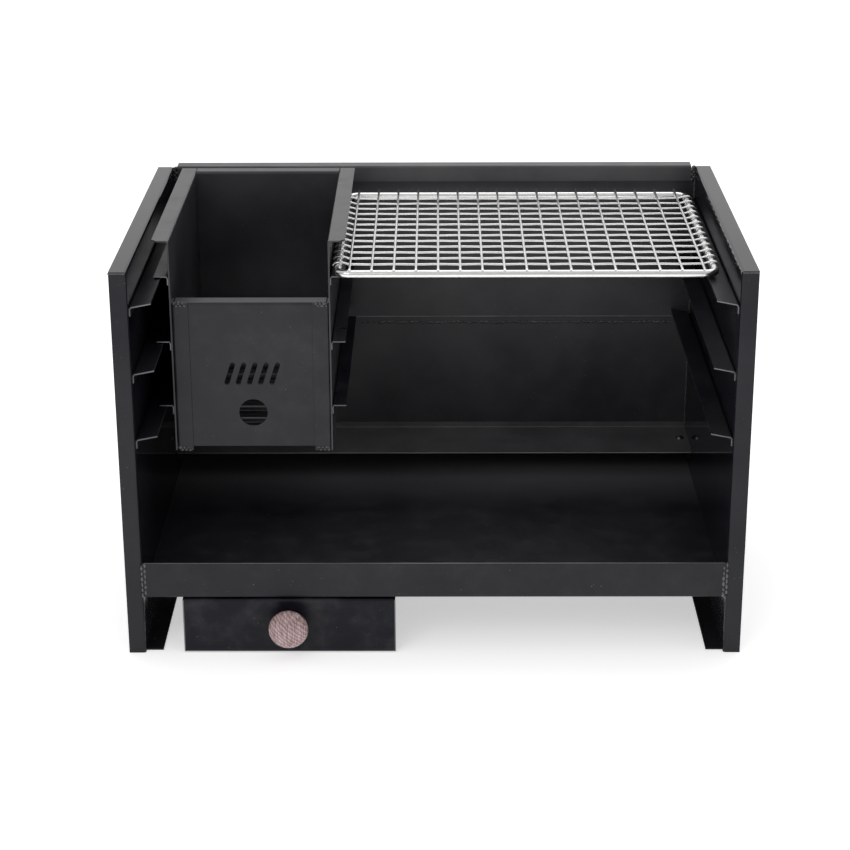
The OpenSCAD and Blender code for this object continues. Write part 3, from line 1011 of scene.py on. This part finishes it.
@dataclass
class BodyWelds(WeldSet):
    """The welds that join the folded sheets of the body."""

    seed: int = 11
    spots: int = 5
    corner_weld: Weld = Weld(2.8 * MM, 1.7 * MM, 3.0 * MM, 1.5 * MM, 0.4)
    rail_weld: Weld = Weld(4.2 * MM, 1.8 * MM, 2.6 * MM, 0.9 * MM, 0.5)
    seam_weld: Weld = Weld(2.4 * MM, 1.3 * MM, 2.6 * MM, 0.35 * MM, 1.0)
    back_weld: Weld = Weld(2.2 * MM, 1.4 * MM, 2.0 * MM, 0.1 * MM, 0.4)
    edge_weld: Weld = Weld(1.5 * MM, 0.5 * MM, 1.2 * MM, 0.1 * MM, 0.6)
    spot_weld: Weld = Weld(5 * MM, 0.35 * MM)
    seam_drop: float = 6.5 * MM
    seam_ends: tuple[float, float] = (8 * MM, 12 * MM)
    lip_inset: float = 1.2 * MM
    lip_depth: float = 0.4 * MM
    lip_ends_z: tuple[float, float] = (3 * MM, 2 * MM)
    rail_depth: float = 1.2 * MM
    rail_ends_z: tuple[float, float] = (1 * MM, 2 * MM)
    back_inset: float = 0.1 * MM
    back_depth: float = 0.2 * MM
    fold_ends: tuple[float, float] = (2 * MM, 0.6 * MM)

    def lip_welds(self) -> None:
        """The upright beads at both ends of the tray's lip."""
        low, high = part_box("fire_tray")
        foot, head = self.lip_ends_z
        for side in SIDES:
            x = side * (high.x - self.lip_inset)
            self.upright(self.corner_weld, x, low.y + self.lip_depth, low.z + foot, high.z - head)

    def rail_welds(self) -> None:
        """The beads that close the gaps at both ends of the rear rail."""
        low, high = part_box("back_rail")
        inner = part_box("fire_tray")[1].x
        foot, head = self.rail_ends_z
        for side in SIDES:
            x = side * (high.x + inner) / 2
            self.upright(self.rail_weld, x, low.y + self.rail_depth, low.z + foot, high.z - head)

    def seam(self) -> None:
        """The thin bead along the lap of the two back panels."""
        low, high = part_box("back_panel_lower")
        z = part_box("back_panel_upper")[0].z - self.seam_drop
        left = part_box("firebox_right_wall")[1].x - self.seam_ends[0]
        right = high.x - self.seam_ends[1]
        self.bead(self.seam_weld, Vector((left, low.y, z)), Vector((right, low.y, z)))

    def back_corners(self) -> None:
        """The upright beads where the back panels meet the side panels."""
        for name in ("back_panel_lower", "back_panel_upper"):
            low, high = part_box(name)
            for side in SIDES:
                x = side * (high.x - self.back_inset)
                self.upright(self.back_weld, x, low.y + self.back_depth, low.z, high.z)

    def fold_corners(self) -> None:
        """The short beads where the top and front folds of each side panel meet."""
        low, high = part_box("right_side_panel")
        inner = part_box("fire_tray")[1].x + self.fold_ends[0]
        outer = high.x - self.fold_ends[1]
        z = high.z - SHEET
        for side in SIDES:
            for y, out in ((low.y, -REARWARD), (high.y, REARWARD)):
                ends = (Vector((side * inner, y, z)), Vector((side * outer, y, z)))
                self.bead(self.edge_weld, *ends, out)

    def ledge_spots(self) -> None:
        """The spot welds that hold the side ledges."""
        for side, name in HANDS:
            for level in LEVELS:
                low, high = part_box(f"{name}_ledge_{level}")
                face = (high.x if side > 0 else -low.x) - SHEET
                for k in range(self.spots):
                    y = low.y + (high.y - low.y) * (k + 0.5) / self.spots
                    centre = Vector((side * face, y, low.z + LEDGE_LEG / 2))
                    self.spot(self.spot_weld, centre, -RIGHT * side)

    def build(self) -> None:
        """Lays all of the body's welds."""
        self.lip_welds()
        self.rail_welds()
        self.seam()
        self.back_corners()
        self.fold_corners()
        self.ledge_spots()
        self.finish("body_welds", Body.GRILL)


@dataclass
class BasketWelds(WeldSet):
    """The welds of the fire basket."""

    seed: int = 23
    spots: int = 4
    corner_weld: Weld = Weld(3.4 * MM, 1.5 * MM, 2.2 * MM, 1.2 * MM, 0.6)
    spot_weld: Weld = Weld(5 * MM, 0.35 * MM)
    collar: Weld = Weld(10.4 * MM, 1.2 * MM)
    post_end: float = 1.6 * MM
    post_inset: float = 2.5 * MM
    post_run: float = 10 * MM
    post_depth: float = 0.3 * MM
    bar_gap: float = 4 * MM

    def post_ends(self) -> None:
        """The short beads across the top and the foot of each corner post."""
        for side, name in HANDS:
            low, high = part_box(f"firebox_post_{name}")
            outer = low.x if side < 0 else high.x
            for z in (low.z + self.post_end, high.z - self.post_end):
                start = Vector((outer - side * self.post_inset, low.y + self.post_depth, z))
                self.bead(self.corner_weld, start, start - RIGHT * side * self.post_run)

    def ledge_spots(self) -> None:
        """The spot welds that hold the basket's ledges."""
        for side, name in HANDS:
            for level in LEVELS:
                low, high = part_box(f"firebox_ledge_{name}_{level}")
                face = high.x - SHEET if side < 0 else low.x + SHEET
                for k in range(self.spots):
                    y = low.y + (high.y - low.y) * (k + 0.5) / self.spots
                    centre = Vector((face, y, low.z + LEDGE_LEG / 2))
                    self.spot(self.spot_weld, centre, RIGHT * side)

    def bar_ends(self) -> None:
        """The collars of weld round both ends of the grate bars."""
        node = frame["nodes"]["firebox_grate_bars"]
        low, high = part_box("firebox_grate_bars")
        places = sorted({round(v.co.y, 6) for v in node.data.vertices})
        groups: list[list[float]] = [[places[0]]]
        for place in places[1:]:
            if place - groups[-1][-1] > self.bar_gap:
                groups.append([])
            groups[-1].append(place)
        middle_z = (low.z + high.z) / 2
        for group in groups:
            y = (group[0] + group[-1]) / 2
            for x, out in ((low.x, RIGHT), (high.x, -RIGHT)):
                self.spot(self.collar, Vector((x, y, middle_z)), out)

    def build(self) -> None:
        """Lays all of the basket's welds."""
        self.post_ends()
        self.ledge_spots()
        self.bar_ends()
        self.finish("basket_welds", Body.BASKET)


@dataclass
class EdgeHighlightBars:
    """Rounded bars on the cut edges of the sheets, in a light coat that paints their highlights."""

    finishes: Finishes
    radius: float = 0.72 * MM
    sides: int = 8
    end_inset: float = 2 * MM
    seat: float = 0.8
    drawer_drop: float = 1.5 * MM

    def bar(self, shape: Shape, path: list[Vector], flat: Vector) -> None:
        """Draws one rounded edge along a path that lies square to flat."""
        shape.sweep(path, self.radius, self.sides, flat)

    def ledge_end(self, shape: Shape, name: str, outward: int) -> None:
        """Draws the front end of one ledge: its tip, its root and its leg.

        Args:
            shape: The shape that gets it.
            name: The ledge's node.
            outward: 1 if the leg stands at its higher X, and -1 if at its lower.
        """
        low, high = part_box(name)
        half = SHEET / 2
        tip, root = (low.x, high.x - half) if outward > 0 else (high.x, low.x + half)
        y = low.y + self.radius / 2
        knee = low.z + LEDGE_LEG - half
        path = [Vector((tip, y, high.z - half)), Vector((root, y, knee)), Vector((root, y, low.z))]
        corner = path[1]
        path[1:2] = [corner.lerp(path[0], 0.08), corner.lerp(path[2], 0.2)]
        self.bar(shape, path, REARWARD)

    def body_edges(self) -> None:
        """Draws the edges of the shelf, the tray's lip, the upper back panel and the ledges."""
        shape = Shape()
        half = self.radius / 2
        low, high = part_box("rear_shelf")
        ends = (low.x + self.end_inset, high.x - self.end_inset)
        lines = [(low.y + half, low.z + SHEET / 2)]
        low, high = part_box("fire_tray")
        lines.append((low.y + SHEET / 2, high.z - half))
        low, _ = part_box("back_panel_upper")
        lines.append((low.y + half, low.z + self.radius))
        for y, z in lines:
            self.bar(shape, [Vector((x, y, z)) for x in ends], REARWARD)
        for side, name in HANDS:
            for level in LEVELS:
                self.ledge_end(shape, f"{name}_ledge_{level}", side)
        shape.finish("body_edge_highlight_bars", Body.GRILL, Slot.COAT, self.finishes.edge)

    def basket_edges(self) -> None:
        """Draws the ends of the basket's ledges."""
        shape = Shape()
        for side, name in HANDS:
            for level in LEVELS:
                self.ledge_end(shape, f"firebox_ledge_{name}_{level}", -side)
        shape.finish("basket_edge_highlight_bars", Body.BASKET, Slot.COAT, self.finishes.edge)

    def drawer_edges(self) -> None:
        """Draws the side and lower edges of the drawer's front."""
        shape = Shape()
        low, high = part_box("drawer_front")
        seat = self.radius * self.seat
        y, foot, head = low.y + seat, low.z + seat, high.z - self.drawer_drop
        left, right = low.x + seat, high.x - seat
        for x in (left, right):
            self.bar(shape, [Vector((x, y, foot)), Vector((x, y, head))], REARWARD)
        self.bar(shape, [Vector((left, y, foot)), Vector((right, y, foot))], REARWARD)
        shape.finish("drawer_edge_highlight_bars", Body.DRAWER, Slot.COAT, self.finishes.edge)

    def build(self) -> None:
        """Draws every edge."""
        self.body_edges()
        self.basket_edges()
        self.drawer_edges()


@dataclass
class SheetMetal:
    """The CAD nodes that are shown as they are."""

    finishes: Finishes

    def dress(self) -> None:
        """Gives every CAD node its finish."""
        for part in frame["record"]["subparts"]:
            node = frame["nodes"][part["node"]]
            material = self.finishes.for_node(part["node"], part["material_slot"])
            node.data.materials.clear()
            node.data.materials.append(material)
            LOG.info("%s: %s", part["node"], material.name)


@dataclass(frozen=True)
class Softbox:
    """A soft rectangular lamp: its place, its width and height, and its power in watts."""

    name: str
    place: tuple[float, float, float]
    size: tuple[float, float]
    power: float

    def hang(self, aim: Vector) -> None:
        """Hangs the lamp.

        Args:
            aim: The point that it faces.
        """
        lamp = bpy.data.lights.new(self.name, "AREA")
        lamp.shape = "RECTANGLE"
        lamp.size, lamp.size_y = self.size
        lamp.energy = self.power
        box = bpy.data.objects.new(self.name, lamp)
        box.location = self.place
        box.rotation_euler = (aim - Vector(self.place)).to_track_quat("-Z", "Y").to_euler()
        bpy.context.scene.collection.objects.link(box)


@dataclass
class Studio:
    """The floor, the lights and the camera."""

    floor_w: float = 24.0
    camera_place: tuple[float, float, float] = (0.0036, -2.1143, 0.9777)
    pitch: float = math.radians(20.967)
    yaw: float = math.radians(-0.357)
    roll: float = math.radians(-0.208)
    focal_length: float = 92.49
    sensor: float = 36.0
    sky: float = 0.74
    rear_sky: float = 0.22
    side_sky: float = 0.3
    floor_gap: float = 0.02 * MM
    softboxes: tuple[Softbox, ...] = (
        Softbox("overhead", (0.2, 1.3, 2.4), (2.2, 1.4), 12),
        Softbox("front_left", (-1.2, -2.4, 2.2), (1.6, 1.2), 14),
    )

    def floor(self) -> None:
        """Lays the plain floor."""
        sheet = bmesh.new()
        bmesh.ops.create_grid(sheet, x_segments=1, y_segments=1, size=self.floor_w / 2)
        data = bpy.data.meshes.new("floor")
        sheet.to_mesh(data)
        sheet.free()
        data.materials.append(StudioWhite().material())
        ground = bpy.data.objects.new("floor", data)
        ground.location.z = CAD_BOX[0].z - self.floor_gap
        bpy.context.scene.collection.objects.link(ground)

    def lights(self) -> None:
        """Sets the soft light."""
        world = bpy.data.worlds.new("studio")
        world.use_nodes = True
        sky = NodeTree(world.node_tree)
        way = sky.node("ShaderNodeTexCoord", output="Generated")
        sideways = sky.node("ShaderNodeSeparateXYZ", inputs={0: way}, output="X")
        rearward = sky.node("ShaderNodeSeparateXYZ", inputs={0: way}, output="Y")
        strength = self.sky + rearward * self.rear_sky - sideways * sideways * self.side_sky
        background = world.node_tree.nodes["Background"]
        sky.feed(background.inputs["Color"], (1, 1, 1, 1))
        sky.feed(background.inputs["Strength"], strength)
        bpy.context.scene.world = world
        middle = (CAD_BOX[0] + CAD_BOX[1]) / 2
        for softbox in self.softboxes:
            softbox.hang(middle)

    def camera(self) -> None:
        """Sets the camera."""
        data = bpy.data.cameras.new("camera")
        data.lens = self.focal_length
        data.sensor_width = self.sensor
        view = bpy.data.objects.new("camera", data)
        view.location = self.camera_place
        turn = Euler((math.pi / 2 - self.pitch, 0, -self.yaw)).to_matrix()
        view.rotation_euler = (turn @ Matrix.Rotation(self.roll, 3, "Z")).to_euler()
        bpy.context.scene.collection.objects.link(view)
        bpy.context.scene.camera = view
        bpy.context.scene.view_settings.view_transform = "Standard"


def main() -> None:
    """Builds the scene."""
    logging.basicConfig(level=logging.INFO, format="%(name)s: %(message)s")
    studio = Studio()
    studio.camera()
    studio.floor()
    studio.lights()
    finishes = Finishes()
    SheetMetal(finishes).dress()
    for assembly in (CookingGrid, DrawerKnob, BodyWelds, BasketWelds, EdgeHighlightBars):
        assembly(finishes).build()


if __name__ == "__main__":
    main()
